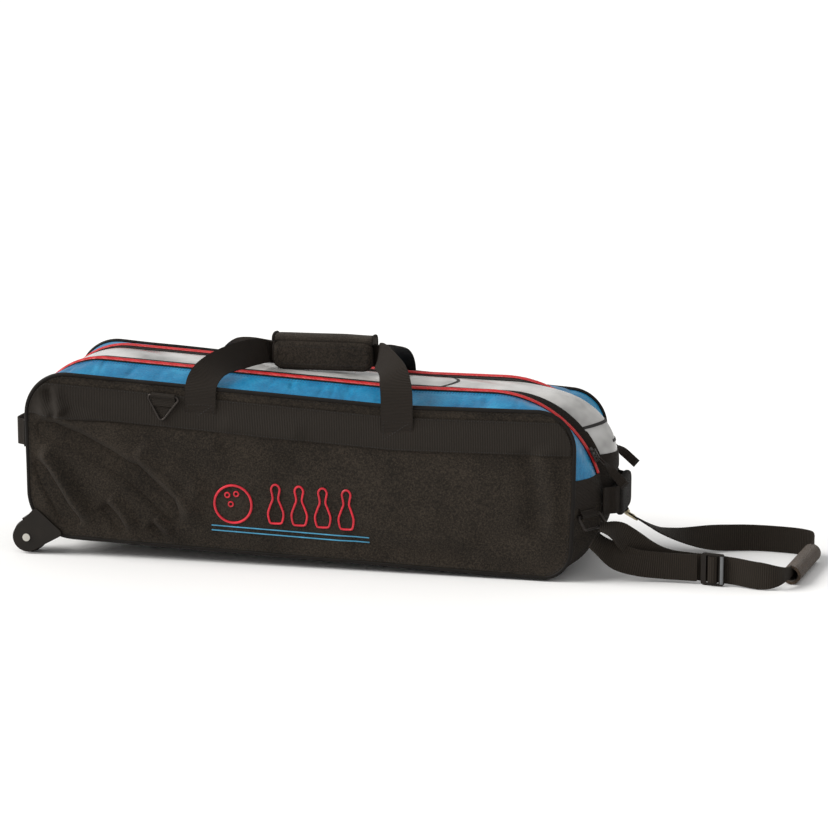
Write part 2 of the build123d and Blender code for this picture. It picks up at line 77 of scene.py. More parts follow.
# --------------------------------------------------------------- materials
class Paint:
    """A node material on the Principled shader."""

    def __init__(self, name, roughness, specular, metallic=0.0, sheen=0.0, coat=0.0, alpha=1.0):
        self.material = bpy.data.materials.new(name)
        self.material.use_nodes = True
        self.tree = self.material.node_tree
        self.shader = self.tree.nodes["Principled BSDF"]
        for slot, value in (
            ("Roughness", roughness), ("Specular IOR Level", specular), ("Metallic", metallic),
            ("Sheen Weight", sheen), ("Sheen Roughness", 0.5),
            ("Coat Weight", coat), ("Coat Roughness", 0.15), ("Alpha", alpha),
        ):
            self.shader.inputs[slot].default_value = value

    def node(self, kind, *inputs):
        """New node; each input is a slot with a number or another node's output."""
        node = self.tree.nodes.new("ShaderNode" + kind)
        for slot, value in inputs:
            if isinstance(value, (int, float)):
                node.inputs[slot].default_value = value
            else:
                self.tree.links.new(value, node.inputs[slot])
        return node

    def drive(self, slot, value):
        self.tree.links.new(value, self.shader.inputs[slot])

    def place(self):
        return self.node("TexCoord").outputs["Object"]

    def lay(self):
        """Distance along and across a strap or tape, from its mesh."""
        node = self.node("Attribute")
        node.attribute_name = "lay"
        return node.outputs["Vector"]

    def noise(self, where, scale, detail=2.0, rough=0.5):
        node = self.node("TexNoise", ("Vector", where), ("Scale", scale), ("Detail", detail),
                         ("Roughness", rough))
        return node.outputs["Fac"]

    def calc(self, kind, *values):
        node = self.node("Math", *enumerate(values))
        node.operation = kind
        return node.outputs[0]

    def total(self, *terms):
        """Sum of values, each times its weight."""
        value = None
        for term, weight in terms:
            term = term if weight == 1 else self.calc("MULTIPLY", term, weight)
            value = term if value is None else self.calc("ADD", value, term)
        return value

    def part(self, where, axis):
        return self.node("SeparateXYZ", (0, where)).outputs[axis]

    def waves(self, value, pitch):
        return self.calc("SINE", self.calc("MULTIPLY", value, 2 * math.pi / pitch))

    def weave(self, where, pitch, axes):
        return self.calc("MULTIPLY", *(self.waves(self.part(where, axis), pitch) for axis in axes))

    def colour(self, value, stops):
        """Base colour from a ramp over a value."""
        stops = list(stops)
        node = self.node("ValToRGB", ("Fac", value))
        ramp = node.color_ramp
        while len(ramp.elements) < len(stops):
            ramp.elements.new(0.5)
        for element, (spot, colour) in zip(ramp.elements, stops):
            element.position = spot
            element.color = (*colour, 1.0)
        self.drive("Base Color", node.outputs["Color"])

    def bump(self, height, distance, strength):
        node = self.node("Bump", ("Distance", distance), ("Strength", strength), ("Height", height))
        self.drive("Normal", node.outputs["Normal"])

    def rough(self, value, low, high):
        node = self.node("MapRange", ("To Min", low), ("To Max", high), ("Value", value))
        self.drive("Roughness", node.outputs["Result"])


def tint(colour, share):
    return tuple(min(1.0, c * share) for c in colour)


def shades(spots, colour, dark, light):
    """Ramp stops from a darker to a lighter tone of a colour."""
    return zip(spots, (tint(colour, dark), colour, tint(colour, light)))


def woven(name, colour, pitch=1.3 * MM, axes=("X", "Z"), sheen=0.02, bump=0.4 * MM):
    """Cloth with a visible weave and an uneven tone."""
    p = Paint(name, roughness=0.85, specular=0.14, sheen=sheen)
    where = p.place()
    grain = p.noise(where, 430.0, 3.0, 0.7)
    broad = p.noise(where, 16.0, 3.0)
    p.colour(p.total((grain, 0.75), (broad, 0.25)), shades((0.38, 0.50, 0.63), colour, 0.45, 1.825))
    p.bump(p.total((p.weave(where, pitch, axes), 1), (grain, 2.6)), bump, 0.9)
    p.rough(grain, 0.72, 0.95)
    return p.material


def ribbed(name, colour, pitch=2.0 * MM, bump=0.5 * MM):
    """Webbing or tape with ribs across its length."""
    p = Paint(name, roughness=0.7, specular=0.16, sheen=0.02)
    lay = p.lay()
    ribs = p.waves(p.part(lay, "X"), pitch)
    threads = p.waves(p.part(lay, "Y"), 1.1 * MM)
    grain = p.noise(p.place(), 600.0, 2.0)
    p.colour(p.total((p.calc("ADD", ribs, 1.0), 0.22), (grain, 0.6)),
             shades((0.2, 0.5, 0.85), colour, 0.6, 1.64))
    p.bump(p.total((ribs, 1), (threads, 0.35), (grain, 1)), bump, 0.8)
    p.rough(grain, 0.55, 0.85)
    return p.material


def moulded(name, colour, roughness=0.45, metallic=0.0, specular=0.5, grain_scale=900.0, bump=0.08 * MM):
    """Plastic, metal or thread, a little worn."""
    p = Paint(name, roughness=roughness, specular=specular, metallic=metallic)
    where = p.place()
    wear = p.noise(where, 40.0, 4.0)
    p.colour(wear, shades((0.3, 0.55, 0.75), colour, 0.75, 1.35))
    p.bump(p.noise(where, grain_scale, 3.0), bump, 0.6)
    p.rough(wear, max(0.05, roughness - 0.1), min(1.0, roughness + 0.15))
    return p.material


BLACK = (0.0290, 0.0225, 0.0165)
FABRIC = woven("black_polyester", BLACK)
FABRIC_END = woven("black_polyester_ends", BLACK, axes=("Y", "Z"))
FABRIC_TOP = woven("black_polyester_wrap", tint(BLACK, 1.1), sheen=0.05)
FOAM = woven("grey_foam", (0.045, 0.045, 0.047), pitch=2.3 * MM, axes=("X", "Y"), sheen=0.0)
GRIP = woven("soft_grip", (0.060, 0.040, 0.026), pitch=1.6 * MM, axes=("Y", "Z"), sheen=0.2)
FLEECE = woven("napped_fabric", (0.0135, 0.0105, 0.0085), pitch=2.0 * MM, axes=("Y", "Z"), sheen=0.06,
               bump=0.9 * MM)
WEB = ribbed("black_webbing", (0.0165, 0.0120, 0.0085))
STRAP_WEB = ribbed("pull_strap_webbing", (0.0175, 0.0130, 0.0090), pitch=3.0 * MM, bump=0.3 * MM)
BAND_WEB = ribbed("band_webbing", (0.0175, 0.0135, 0.0100), pitch=2.4 * MM, bump=0.35 * MM)
TAPE = ribbed("black_zip_tape", (0.010, 0.008, 0.0065), pitch=1.6 * MM, bump=0.2 * MM)
PIPING = moulded("black_piping", (0.0085, 0.0068, 0.0055), roughness=0.5, specular=0.14, grain_scale=500.0,
                 bump=0.35 * MM)
THREAD = moulded("black_thread", (0.012, 0.010, 0.009), roughness=0.6, grain_scale=1500.0)
BLUE_THREAD = moulded("blue_thread", (0.010, 0.075, 0.20), roughness=0.5, grain_scale=1500.0)
RED_THREAD = moulded("red_thread", (0.62, 0.012, 0.03), roughness=0.42, grain_scale=1200.0, bump=0.2 * MM)
LINE_THREAD = moulded("blue_line_thread", (0.06, 0.30, 0.48), grain_scale=1200.0, bump=0.2 * MM)
BOARD = moulded("base_board", (0.03, 0.03, 0.03), roughness=0.6)
PLASTIC = moulded("black_plastic", (0.0130, 0.0100, 0.0075), roughness=0.48, specular=0.2)
# Light grey glossy plastic for the slider's outer bar: a painted highlight, not the plastic's own colour.
SLIDER_HIGHLIGHT = moulded("painted_highlight_plastic", (0.12, 0.125, 0.13), roughness=0.3, specular=0.6)
DARK_METAL = moulded("dark_wire", (0.045, 0.038, 0.034), roughness=0.3, metallic=0.85)
BRIGHT = moulded("bright_rivet", (0.55, 0.53, 0.48), roughness=0.28, metallic=0.95)
BRASS = moulded("brass_swivel", (0.60, 0.52, 0.34), roughness=0.28, metallic=0.9)


def blue_vinyl():
    p = Paint("blue_vinyl", roughness=0.4, specular=0.3, coat=0.12)
    where = p.place()
    broad = p.noise(where, 22.0, 4.0, 0.6)
    fine = p.noise(where, 330.0, 2.0)
    p.colour(p.total((broad, 0.75), (fine, 0.25)),
             ((0.34, (0.001, 0.115, 0.26)), (0.5, (0.002, 0.175, 0.36)), (0.68, (0.02, 0.27, 0.48))))
    p.bump(p.total((broad, 3.0), (fine, 1)), 1.1 * MM, 0.5)
    p.rough(broad, 0.28, 0.48)
    return p.material


def clear_vinyl():
    p = Paint("smoky_clear_vinyl", roughness=0.22, specular=0.5, coat=0.4, alpha=0.86)
    broad = p.noise(p.place(), 14.0, 3.0)
    p.colour(broad, ((0.34, (0.30, 0.296, 0.29)), (0.5, (0.58, 0.573, 0.56)), (0.66, (0.74, 0.732, 0.72))))
    p.bump(broad, 2.0 * MM, 0.35)
    p.rough(broad, 0.16, 0.30)
    return p.material


def red_coil():
    p = Paint("red_zip_coil", roughness=0.38, specular=0.45)
    ribs = p.waves(p.part(p.lay(), "X"), 2.0 * MM)
    p.colour(p.total((p.calc("ADD", ribs, 1.0), 0.3), (p.noise(p.place(), 300.0), 0.4)),
             ((0.1, (0.22, 0.004, 0.006)), (0.45, (0.56, 0.010, 0.014)), (0.9, (0.78, 0.03, 0.03))))
    p.bump(ribs, 0.4 * MM, 0.5)
    return p.material


BLUE = blue_vinyl()
CLEAR = clear_vinyl()
RED = red_coil()


# ------------------------------------------------------------- mesh helpers
def piece(name, verts, faces, material, body="bag", node=(), slot=None, lay=None, sharp=42):
    """Mesh object that rides one body, or no body when none is given."""
    me = bpy.data.meshes.new(name)
    me.from_pydata([tuple(v) for v in verts], [], faces)
    me.update()
    me.polygons.foreach_set("use_smooth", [True] * len(me.polygons))
    me.set_sharp_from_angle(angle=math.radians(sharp))
    if lay is not None:
        attribute = me.attributes.new("lay", "FLOAT_VECTOR", "POINT")
        attribute.data.foreach_set("vector", np.asarray(lay, np.float32).ravel())
    me.materials.append(material)
    ob = added(name, me)
    if body:
        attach(ob, body)
    if node:
        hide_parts(*([node] if isinstance(node, str) else node))
    return ob


def unit(v):
    return v / np.maximum(np.linalg.norm(v, axis=-1, keepdims=True), 1e-12)


def run_of(line):
    """Distance along a line at each of its points."""
    return np.concatenate([[0], np.cumsum(np.linalg.norm(np.diff(line, axis=0), axis=1))])


def read_at(spots, run, values):
    """Rows of values read at places between their own."""
    return np.stack([np.interp(spots, run, column) for column in np.asarray(values, float).T], -1)


def resample(points, n=None, step=None):
    """Evenly spaced points along a line, by number or by step."""
    p = np.asarray(points, float)
    run = run_of(p)
    if n is None:
        n = max(2, int(round(run[-1] / step)) + 1)
    return read_at(np.linspace(0, run[-1], n), run, p)


def closed_up(line):
    return np.vstack([line, line[:1]])


def grid_normals(g):
    return unit(np.cross(np.gradient(g, axis=1), np.gradient(g, axis=0)))


def raised(g, lift):
    return g + grid_normals(g) * lift


def grid_lay(g):
    """Distance along and across a grid, for its weave."""
    u = np.zeros(g.shape[:2])
    v = np.zeros(g.shape[:2])
    u[:, 1:] = np.cumsum(np.linalg.norm(np.diff(g, axis=1), axis=2), axis=1)
    v[1:, :] = np.cumsum(np.linalg.norm(np.diff(g, axis=0), axis=2), axis=0)
    u[:] = u.mean(axis=0, keepdims=True)
    return np.stack([u, v, np.zeros_like(u)], axis=-1)


def slab(name, outer, thick, material, inner=None, **kw):
    """Closed sheet from a grid of its outer face, and of its inner face if that isn't parallel."""
    rows, cols = outer.shape[:2]
    if inner is None:
        inner = raised(outer, -thick)
    lay = grid_lay(outer).reshape(-1, 3)
    verts = np.concatenate([outer.reshape(-1, 3), inner.reshape(-1, 3)])
    k = rows * cols
    idx = np.arange(k).reshape(rows, cols)
    a, b, c, d = idx[:-1, :-1], idx[:-1, 1:], idx[1:, 1:], idx[1:, :-1]
    top = np.stack([a, b, c, d], -1).reshape(-1, 4)
    under = (np.stack([a, d, c, b], -1) + k).reshape(-1, 4)
    rim = np.concatenate([idx[0, :], idx[1:, -1], idx[-1, ::-1][1:], idx[::-1, 0][1:]])
    edge = np.stack([rim[:-1], rim[:-1] + k, rim[1:] + k, rim[1:]], -1)
    faces = np.concatenate([top, under, edge]).tolist()
    return piece(name, verts, faces, material, lay=np.concatenate([lay, lay]), **kw)


def barrel_faces(rings, sides, closed=False):
    """Faces of a run of rings, with flat ends unless it is closed."""
    faces = []
    for i in range(rings if closed else rings - 1):
        here, there = i * sides, (i + 1) % rings * sides
        for j in range(sides):
            beside = (j + 1) % sides
            faces.append((here + j, here + beside, there + beside, there + j))
    if not closed:
        faces += [tuple(range(sides))[::-1], tuple(range((rings - 1) * sides, rings * sides))]
    return faces


def tube(name, points, radius, material, closed=False, sides=10, squash=(1.0, 1.0), **kw):
    """Round bar along a run of points; radius may be one number or one for each point."""
    p = np.asarray(points, float)
    n = len(p)
    tangent = unit(np.roll(p, -1, 0) - np.roll(p, 1, 0)) if closed else unit(np.gradient(p, axis=0))
    start = np.array([1.0, 0.0, 0.0]) if abs(tangent[0] @ UP) > 0.9 else UP
    sideways = np.zeros_like(p)
    side = unit(start - tangent[0] * (start @ tangent[0]))
    for i in range(n):
        side = unit(side - tangent[i] * (side @ tangent[i]))
        sideways[i] = side
    other = np.cross(tangent, sideways)
    r = np.broadcast_to(np.asarray(radius, float), (n,))[:, None, None]
    turn = np.arange(sides) / sides * 2 * math.pi
    ring = (sideways[:, None, :] * np.cos(turn)[None, :, None] * squash[0]
            + other[:, None, :] * np.sin(turn)[None, :, None] * squash[1])
    verts = (p[:, None, :] + ring * r).reshape(-1, 3)
    lay = np.stack([np.repeat(run_of(p), sides), np.tile(turn * float(np.mean(r)), n),
                    np.zeros(n * sides)], -1)
    return piece(name, verts, barrel_faces(n, sides, closed), material, lay=lay, **kw)


def smooth_path(points, n=200):
    """Catmull-Rom path through a few points."""
    p = np.asarray(points, float)
    ext = np.vstack([2 * p[0] - p[1], p, 2 * p[-1] - p[-2]])
    out = []
    for i in range(len(p) - 1):
        p0, p1, p2, p3 = ext[i:i + 4]
        for t in np.linspace(0, 1, 24, endpoint=False):
            out.append(0.5 * (2 * p1 + (p2 - p0) * t + (2 * p0 - 5 * p1 + 4 * p2 - p3) * t * t
                              + (3 * p1 - p0 - 3 * p2 + p3) * t ** 3))
    return resample([*out, p[-1]], n)


STITCH, STITCH_GAP = 3.0 * MM, 1.3 * MM


def stitches(name, points, outward, material=THREAD, body="bag", radius=0.42 * MM, **kw):
    """Row of thread stitches lying on a surface, each a small eight-sided spindle."""
    p = np.asarray(points, float)
    run = run_of(p)
    starts = np.arange(0.5 * STITCH_GAP, run[-1] - STITCH, STITCH + STITCH_GAP)
    a, b = read_at(starts, run, p), read_at(starts + STITCH, run, p)
    n = unit(read_at(starts + STITCH / 2, run, np.broadcast_to(outward, p.shape)))
    mid = (a + b) / 2
    w = np.cross(unit(b - a), n)
    w, n = w * radius, n * radius
    verts = np.stack([a, mid + w, mid + n, mid - w, mid - n, b], 1).reshape(-1, 3)
    k = (np.arange(len(starts)) * 6)[:, None, None]
    f = [[0, 2, 1], [0, 3, 2], [0, 4, 3], [0, 1, 4], [5, 1, 2], [5, 2, 3], [5, 3, 4], [5, 4, 1]]
    faces = (k + np.array(f)[None]).reshape(-1, 3).tolist()
    return piece(name, verts, faces, material, body=body, sharp=80, **kw)


# --------------------------------------------------------- outlines of the bag
FRONT_CORNERS = ((-400, 28), (-402, 266), (136, 236), (388, 238), (386.6, 120), (382, 3.5))
REAR_CORNERS = ((-400, 28), (-402, 275), (136, 240), (396, 222), (393, 130), (382, 3.5))
SIDE_RADII = (66, 60, 600, 52, 200, 40)
ZIP_CORNERS = ((-410, 27), (-412, 281), (136, 250), (418, 250), (417.6, 72), (392, -1.09))
ZIP_RADII = (78, 105, 600, 160, 80, 80)
CROWN_CORNERS = ((-414, 27.14), (-418, 283), (136, 255), (470, 240), (420, 104), (392, -1.09))
CROWN_RADII = (78, 110, 600, 98, 60, 70)
ARC_STEPS = (28, 28, 12, 28, 10, 28)
RUN_STEPS = (40, 120, 60, 30, 20, 160)
SEAM_Z = 141.0
HEM_Z = 164.0
WHEEL_SEAM_X = -340.0
PULL_SEAM_X = 322.0
EDGE_Y = 115.2
ZIP_Y = 60.0
CHAIN_Y = 56.0
CLEAR_Y = 44.0
WINDOW_Y = 37.5


def outline(corners, radii, grow=0.0):
    """Points round an outline, from the lower wheel corner up and over."""
    c = [np.array(p, float) for p in corners]
    n = len(c)
    arcs = []
    for i in range(n):
        before, here, after = c[i - 1], c[i], c[(i + 1) % n]
        a, b = unit(before - here), unit(after - here)
        half = math.acos(float(np.clip(a @ b, -1, 1))) / 2
        centre = here + unit(a + b) * radii[i] / math.sin(half)
        start, end = here + a * radii[i] / math.tan(half), here + b * radii[i] / math.tan(half)
        t0 = math.atan2(*(start - centre)[::-1])
        t1 = math.atan2(*(end - centre)[::-1])
        t1 = t0 + (t1 - t0 + math.pi) % (2 * math.pi) - math.pi
        step = here - before
        turn = step[0] * (after - here)[1] - step[1] * (after - here)[0]
        r = radii[i] + (grow if turn < 0 else -grow)
        t = np.linspace(t0, t1, ARC_STEPS[i])
        arcs.append(np.stack([centre[0] + r * np.cos(t), centre[1] + r * np.sin(t)], -1))
    points = []
    for i in range(n):
        points.append(arcs[i])
        a, b = arcs[i][-1], arcs[(i + 1) % n][0]
        t = np.linspace(0, 1, RUN_STEPS[i] + 2)[1:-1, None]
        points.append(a + (b - a) * t)
    return np.concatenate(points)


LOOP_FRONT = outline(FRONT_CORNERS, SIDE_RADII, -1.0)
LOOP_REAR = outline(REAR_CORNERS, SIDE_RADII, -1.0)
LOOP_ZIP = outline(ZIP_CORNERS, ZIP_RADII)
LOOP_CROWN = outline(CROWN_CORNERS, CROWN_RADII)


def loop_at(y):
    """Outline of the gusset at one distance across the bag."""
    away = abs(y)
    if away <= CLEAR_Y:
        t = 1 - (away / CLEAR_Y) ** 2
        return LOOP_ZIP + (LOOP_CROWN - LOOP_ZIP) * t
    if away <= ZIP_Y:
        return LOOP_ZIP
    t = (away - ZIP_Y) / (EDGE_Y - ZIP_Y)
    return LOOP_ZIP + ((LOOP_FRONT if y < 0 else LOOP_REAR) - LOOP_ZIP) * t


def crossing(v, start=0):
    """Fractional place along a loop where a value first passes zero."""
    n = len(v)
    for i in range(start, start + n):
        a, b = v[i % n], v[(i + 1) % n]
        if a < 0 <= b:
            return i + a / (a - b)
    raise ValueError("no crossing")


def stretch(p, a, b, n):
    """Evenly spaced points of a loop between two fractional places."""
    size = len(p)
    if b < a:
        b += size
    inner = np.arange(math.floor(a) + 1, math.ceil(b))
    spots = np.concatenate([[a], inner, [b]])
    lo = np.floor(spots).astype(int)
    t = (spots - lo)[:, None]
    pts = p[lo % size] * (1 - t) + p[(lo + 1) % size] * t
    return resample(pts, n)


FALL_FROM = ARC_STEPS[0] + RUN_STEPS[0] + ARC_STEPS[1]
BOTTOM_FROM = sum(ARC_STEPS) + sum(RUN_STEPS[:5]) - 2


def rising(z):
    """Cut of the gusset where it climbs through a height, at the wheel end."""
    return lambda p: crossing(p[:, 1] - z)


def falling(z):
    """Cut where it drops through a height, at the pull end."""
    return lambda p: crossing(z - p[:, 1], FALL_FROM)


def beneath(x):
    """Cut across the bottom, at one place along the bag."""
    return lambda p: crossing(x - p[:, 0], BOTTOM_FROM)


def skin(ys, begin, finish, n):
    """Grid of the gusset between two cuts, in millimetres."""
    rows = []
    for y in ys:
        p = loop_at(y)
        rows.append(np.insert(stretch(p, begin(p), finish(p), n), 1, y, axis=1))
    return np.array(rows)


def across(side, near, far, n):
    """Places across one half of the gusset, in rising order."""
    return np.sort(side * np.linspace(near, far, n))


def seam_line(y, begin, finish, n):
    """Line round the gusset at one place across it, and the way out from it."""
    rows = skin((y - 0.5, y, y + 0.5), begin, finish, n)
    return rows[1], grid_normals(rows)[1]


def noise1(x, seed):
    """Smooth repeatable noise from a few waves."""
    r = np.random.default_rng(seed)
    out = 0
    for _ in range(5):
        out = out + np.sin(x * r.uniform(0.5, 2.2) + r.uniform(0, 6.28)) * r.uniform(0.3, 1.0)
    return out / 3.0


# ------------------------------------------------------ soft shape of a side
def distance_to_path(x, z, path):
    """Signed distance to a line, above it positive, and how far along it is."""
    best = np.full(x.shape, 1e9)
    sign = np.ones(x.shape)
    share = np.zeros(x.shape)
    total = len(path) - 1
    for i in range(total):
        a, b = np.array(path[i], float), np.array(path[i + 1], float)
        d = b - a
        t = np.clip(((x - a[0]) * d[0] + (z - a[1]) * d[1]) / (d @ d), 0, 1)
        px, pz = x - a[0] - d[0] * t, z - a[1] - d[1] * t
        dist = np.hypot(px, pz)
        near = dist < best
        side = np.sign(d[0] * pz - d[1] * px)
        best = np.where(near, dist, best)
        sign = np.where(near, np.where(side == 0, 1, side), sign)
        share = np.where(near, (i + t) / total, share)
    return best * sign, share


FRONT_CREASES = (  # line, width, depth
    (((-397, 199), (-358, 194), (-315, 178), (-274, 158), (-238, 137), (-207, 112), (-183, 91),
      (-166, 56)), 13, 5.2),
    (((-391, 148), (-371, 126), (-353, 98), (-338, 72), (-316, 46)), 11, 3.8),
    (((-285, 84), (-267, 65), (-252, 40)), 8, 2.4),
    (((-216, 58), (-194, 36)), 7, 1.8),
    (((-364, 246), (-357, 223), (-347, 205)), 7, 2.0),
    (((-240, 154), (-222, 144), (-195, 134), (-164, 112), (-150, 80)), 12, 2.0),
    (((-120, 190), (-60, 176), (10, 170)), 16, 0.9),
    (((330, 190), (345, 130), (350, 60)), 14, 1.2),
    (((60, 60), (150, 44), (260, 40)), 16, 1.0),
)
REAR_CREASES = (
    (((-395, 170), (-330, 150), (-270, 110), (-235, 60)), 14, 4.0),
    (((380, 180), (330, 160), (280, 110), (260, 60)), 14, 3.4),
    (((-60, 60), (20, 90), (110, 84)), 16, 1.6),
    (((150, 60), (190, 100), (200, 150)), 12, 1.6),
)


def puff(x, z, side):
    """How far a side panel stands out from its flat place, in millimetres."""
    x, z = np.asarray(x, float), np.asarray(z, float)
    foot = 28 - (x + 400) * 0.0313
    head = np.where(x < 136, 266 - (x + 402) * 0.0558, 237)
    v = np.clip((z - foot) / (head - foot), 0, 1)
    u = np.clip((x + 400) / 788, 0, 1)
    body = 5.0 * (4 * v * (1 - v)) ** 0.8 * (4 * u * (1 - u)) ** 0.45
    edge = np.clip(np.minimum.reduce([v, 1 - v, u * 3.3, (1 - u) * 3.3]) / 0.13, 0, 1)
    edge = edge * edge * (3 - 2 * edge)
    wave = 0.9 * noise1(x / 45 + z / 80, 3 + side) + 0.6 * noise1(z / 26 - x / 70, 9 + side)
    folds = 0
    for path, width, depth in (FRONT_CREASES if side < 0 else REAR_CREASES):
        d, share = distance_to_path(x, z, path)
        fade = np.clip(np.minimum(share, 1 - share) / 0.12, 0, 1)
        near = np.exp(-np.clip(np.abs(d) / width - 2.2, 0, 9) ** 2)
        folds = folds + 3.6 * depth * fade * (d / width) * np.exp(0.5 - 0.5 * (d / width) ** 2) * near
    quiet = np.clip((head - z - 14) / 30, 0.25, 1.0)
    swell = (body + wave) * edge * np.clip(quiet + 0.2, 0, 1)
    return swell + folds * edge * np.clip((head - z) / 46, 0.15, 1)


def columns(loop, n):
    """Lower and upper edge of an outline at spaced places along it."""
    x = loop[:, 0]
    left, right = int(np.argmin(x)), int(np.argmax(x))
    order = np.roll(np.arange(len(loop)), -left)
    k = int(np.where(order == right)[0][0])
    upper = loop[order[:k + 1]]
    lower = loop[np.concatenate([order[k:], order[:1]])][::-1]
    t = 0.5 - 0.5 * np.cos(np.linspace(0, math.pi, n))
    t = 0.45 * t + 0.55 * np.linspace(0, 1, n)
    t[0], t[-1] = 0.0, 1.0
    xs = x[left] + (x[right] - x[left]) * t
    up = np.interp(xs, np.maximum.accumulate(upper[:, 0]), upper[:, 1])
    low = np.interp(xs, np.maximum.accumulate(lower[:, 0]), lower[:, 1])
    return xs, low, up


PANEL_FACE = 120.0
PANEL_BACK = 117.2
PIPING_FACE = 118.6
BAND_TOP, BAND_FOOT = 14, 60  # below the panel's top edge


def on_side(x, z, side, lift=0.0):
    """Points on the face of a side panel, in metres."""
    return np.stack([x, side * (PANEL_FACE + lift + puff(x, z, side)), z], -1) * MM


for name, side in SIDES:
    corners = FRONT_CORNERS if side < 0 else REAR_CORNERS
    xs, low, up = columns(outline(corners, SIDE_RADII, -1.6), 330)
    zs = low + (up - low) * np.linspace(0, 1, 92)[:, None]
    xg = np.broadcast_to(xs, zs.shape)
    inner = np.stack([xg, np.full_like(zs, side * PANEL_BACK), zs], -1) * MM
    # A rear grid is turned round (::-side), so that its face looks outwards.
    slab(f"{name}_panel_fabric", on_side(xg, zs, side)[:, ::-side], 0, FABRIC, inner=inner[:, ::-side],
         node=f"{name}_panel", slot="black_fabric")

    # Piping round the panel, and the seam inside it.
    edge = resample(closed_up(outline(corners, SIDE_RADII)), step=3.0)[:-1]
    wob = noise1(np.arange(len(edge)) / 9.0, 20 + side)
    tube(f"{name}_piping_cord", np.insert(edge, 1, side * (PIPING_FACE + 0.35 * wob), axis=1) * MM,
         (3.0 + 0.18 * wob) * MM, PIPING, closed=True, sides=12, node=f"{name}_piping", slot="piping")
    inner_edge = resample(closed_up(outline(corners, SIDE_RADII, -4.6)), step=2.0)
    stitches(f"{name}_panel_seam", on_side(*inner_edge.T, side, 0.35), (0, side, 0), slot="black_fabric")

    # Webbing band along the top of the panel.
    limit_x, _, limit_up = columns(outline(corners, SIDE_RADII, -3.9), 500)
    span = np.linspace(-398.6, 384.4, 420)
    span = span[(span > limit_x[0] + 0.4) & (span < limit_x[-1] - 0.4)]
    top_line = np.interp(span, *zip(*corners[1:4]))
    cap = np.interp(span, limit_x, limit_up)
    upper = np.minimum(top_line - BAND_TOP, cap)
    lower = np.minimum(top_line - BAND_FOOT, cap - 2)
    zg = lower + (upper - lower) * np.linspace(0, 1, 16)[:, None]
    xg = np.broadcast_to(span, zg.shape)
    outer = on_side(xg, zg, side, 1.7 + 0.25 * noise1(xg / 30, 5))
    slab(f"{name}_band_webbing", outer[:, ::-side], 1.5 * MM, BAND_WEB, node=f"{name}_top_band",
         slot="webbing")
    for k, row in enumerate((1.6, 44.2)):
        z = np.minimum(top_line - BAND_TOP - row, cap - 1)
        stitches(f"{name}_band_stitch_{k + 1}", on_side(span, z, side, 2.2), (0, side, 0), slot="webbing")

# ------------------------------------------------------------ blue strips
STRIP_SWELL = 1.6
for name, side in SIDES:
    g = skin(across(side, ZIP_Y + 0.2, EDGE_Y, 18), rising(SEAM_Z), falling(SEAM_Z), 460)
    s = grid_lay(g)[..., 0]
    t = (np.abs(g[..., 1]) - ZIP_Y) / (EDGE_Y - ZIP_Y)
    crease = 0
    r = np.random.default_rng(11 if side < 0 else 12)
    for _ in range(60):
        centre, width = r.uniform(20, s.max() - 20), r.uniform(3.0, 7.5)
        slant, depth = r.uniform(-16, 16), r.uniform(0.5, 1.7)
        off = (s - centre - slant * (t - 0.5)) / width
        fade = np.clip(1.15 - 1.1 * np.abs(t - r.uniform(0.3, 0.7)) * 2, 0, 1)
        crease = crease + depth * np.exp(-off ** 2) * fade
    swell = STRIP_SWELL * 4 * t * (1 - t) - crease * np.clip(8 * t * (1 - t), 0, 1)
    slab(f"{name}_strip_vinyl", raised(g, swell[..., None]) * MM, 1.4 * MM, BLUE,
         node=f"{name}_colour_strip", slot="coloured_vinyl")
    for k, where in enumerate((65.4, 69.6)):
        line, out = seam_line(side * where, rising(SEAM_Z + 2), falling(SEAM_Z + 2), 500)
        t = (where - ZIP_Y) / (EDGE_Y - ZIP_Y)
        line = line + out * (STRIP_SWELL * 4 * t * (1 - t) + 0.15)
        stitches(f"{name}_strip_stitch_{k + 1}", line * MM, out, BLUE_THREAD, radius=0.5 * MM,
                 slot="coloured_vinyl")

# -------------------------------------------------------------------- zips
ZIP_START = rising(SEAM_Z + 1)
ZIP_END = falling(SEAM_Z + 1)
FLAP_END = falling(HEM_Z - 6)


def across_hinge(ob):
    """Bake a piece's placement into its mesh."""
    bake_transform(ob)


def coil(name, side, near, far, finish, **kw):
    """Half of a zip's coil, a row of close round turns."""
    g = skin(across(side, near, far, 7), ZIP_START, finish, 2600)
    off = np.abs(g[..., 1]) - CHAIN_Y
    round_off = np.sqrt(np.clip(1 - (off / 5.3) ** 2, 0, 1))
    ribs = 0.5 + 0.5 * np.cos((grid_lay(g)[..., 0] + off * 0.25) * 2 * math.pi / 2.0)
    g = raised(g, (0.9 + round_off * (3.3 + 0.5 * ribs))[..., None])
    return slab(name, g * MM, 1.2 * MM, RED, slot="zip_tape", **kw)


for name, side in SIDES:
    coil(f"{name}_zip_coil_outer", side, 56.05, 61.0, ZIP_END, node=f"{name}_zip_tape")
    across_hinge(coil(f"{name}_zip_coil_inner", side, 51.0, 55.95, FLAP_END, body=None))

    # Narrow dark edge between the strip and the coil.
    g = skin(across(side, 60.4, 63.0, 4), ZIP_START, ZIP_END, 300)
    slab(f"{name}_zip_edge", raised(g, 1.5) * MM, 1.2 * MM, TAPE, slot="zip_tape")

    # Inner tape, which carries the window.
    g = skin(across(side, WINDOW_Y - 1.0, 55.6, 11), ZIP_START, FLAP_END, 380)
    across_hinge(slab(f"{name}_inner_tape", raised(g, 1.3) * MM, 1.4 * MM, TAPE, body=None,
                      node=(f"{name}_window_tape", f"{name}_flap_tape"), slot="zip_tape"))
    line, out = seam_line(side * 40.0, rising(SEAM_Z + 2), FLAP_END, 500)
    across_hinge(stitches(f"{name}_inner_tape_stitch", (line + out * 1.25) * MM, out, body=None,
                          slot="zip_tape"))

